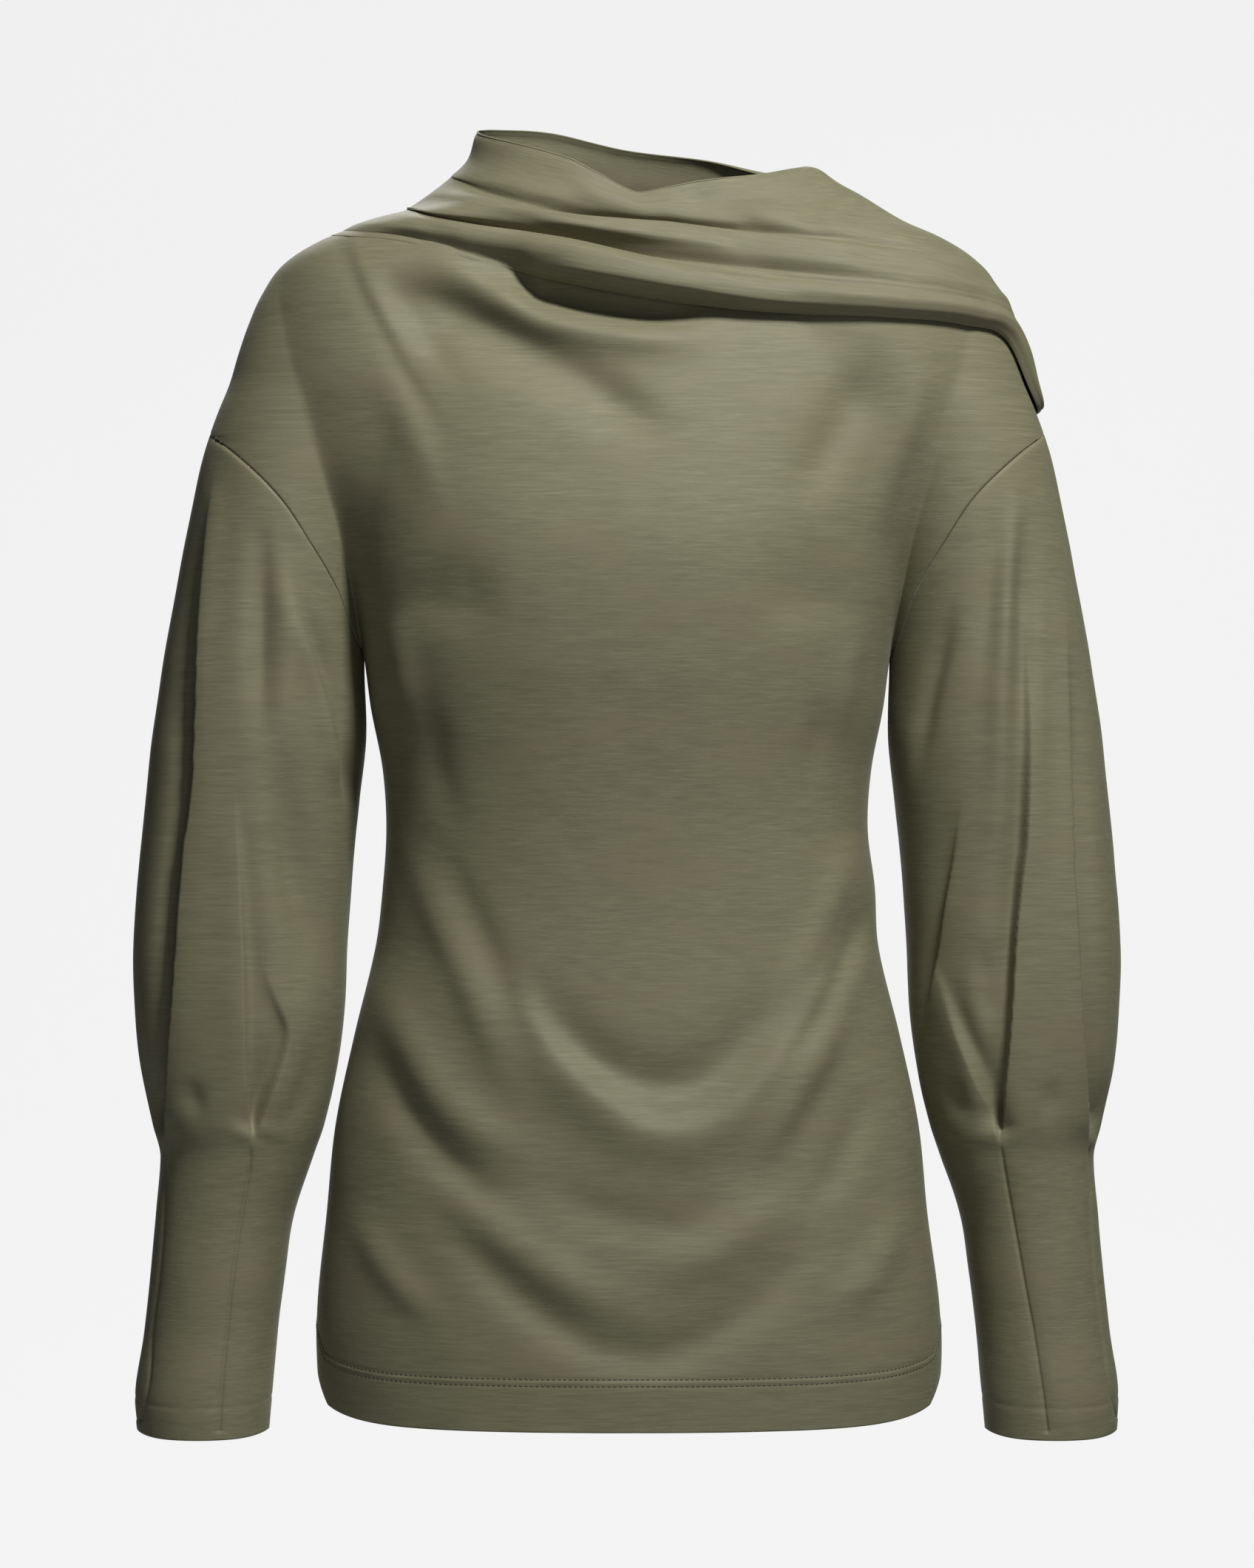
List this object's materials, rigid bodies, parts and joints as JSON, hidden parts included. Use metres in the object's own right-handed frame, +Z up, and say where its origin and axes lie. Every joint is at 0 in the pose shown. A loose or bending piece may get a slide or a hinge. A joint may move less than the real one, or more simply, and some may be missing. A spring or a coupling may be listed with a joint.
{
  "type": "cowl neck sweater",
  "caption": "Fine jersey top with a draped cowl neck, dropped shoulders, long darted sleeves and a curved hem, filled out as if worn and open inside.",
  "frame": {"origin": "Between the shoulders, at the height of the shoulder line where the wearer holds the garment, on the plane of the side seams.", "axes": "+Z is up along the body, the front of the garment faces -Y, and +X is to the viewer's right when the front is looked at."},
  "size_m": [0.5535, 0.2144, 0.736],
  "materials": {
    "jersey": "fine olive jersey with faint crosswise slubs and a soft low sheen"
  },
  "bodies": {
    "root": {"front": "jersey", "back": "jersey", "sleeve_left": "jersey", "sleeve_right": "jersey", "cowl": "jersey"}
  },
  "joints": []
}
